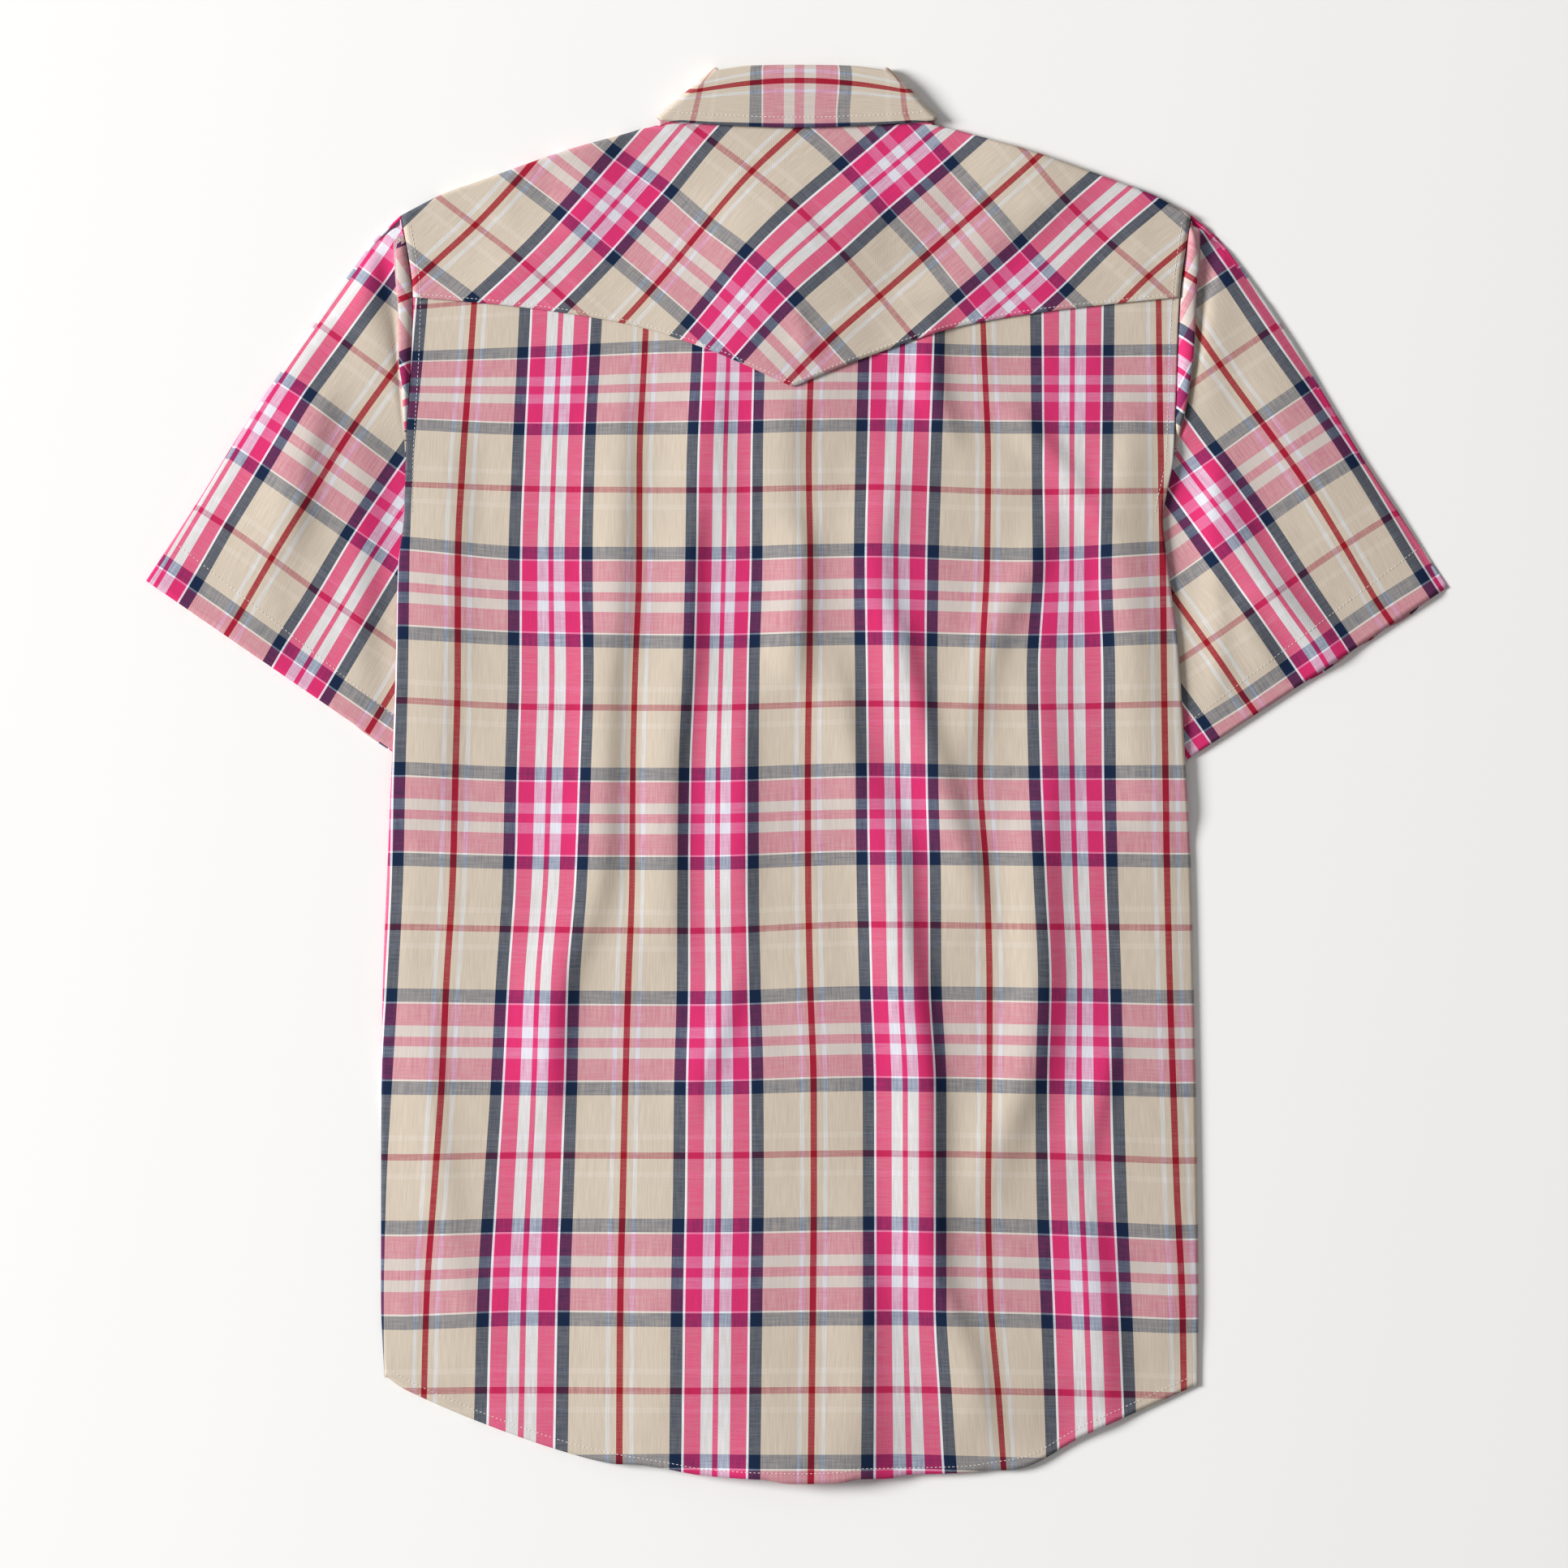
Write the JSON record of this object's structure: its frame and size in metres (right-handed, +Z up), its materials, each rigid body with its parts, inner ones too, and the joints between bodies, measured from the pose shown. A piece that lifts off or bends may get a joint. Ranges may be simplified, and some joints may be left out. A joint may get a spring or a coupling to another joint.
{
  "type": "western snap shirt",
  "caption": "Short-sleeved western shirt in a plaid cloth, laid flat on its front with its pointed back yoke and curved hem up.",
  "frame": {"origin": "on the ground under the middle of the laid shirt", "axes": "+X to the right of the laid shirt, seen from above; +Y from the hem to the collar; +Z up, out of the shirt's back"},
  "size_m": [0.7498, 0.8151, 0.0094],
  "materials": {
    "shirting": "matte woven cotton plaid",
    "snap": "pearl"
  },
  "bodies": {
    "root": {"back": "shirting", "back_yoke": "shirting", "sleeve_left": "shirting", "sleeve_right": "shirting", "front_left": "shirting", "front_right": "shirting", "placket": "shirting", "collar": "shirting", "collar_stand": "shirting", "snap_1": "snap", "snap_2": "snap", "snap_3": "snap", "snap_4": "snap", "snap_5": "snap", "snap_6": "snap", "snap_7": "snap", "snap_8": "snap"}
  },
  "joints": []
}
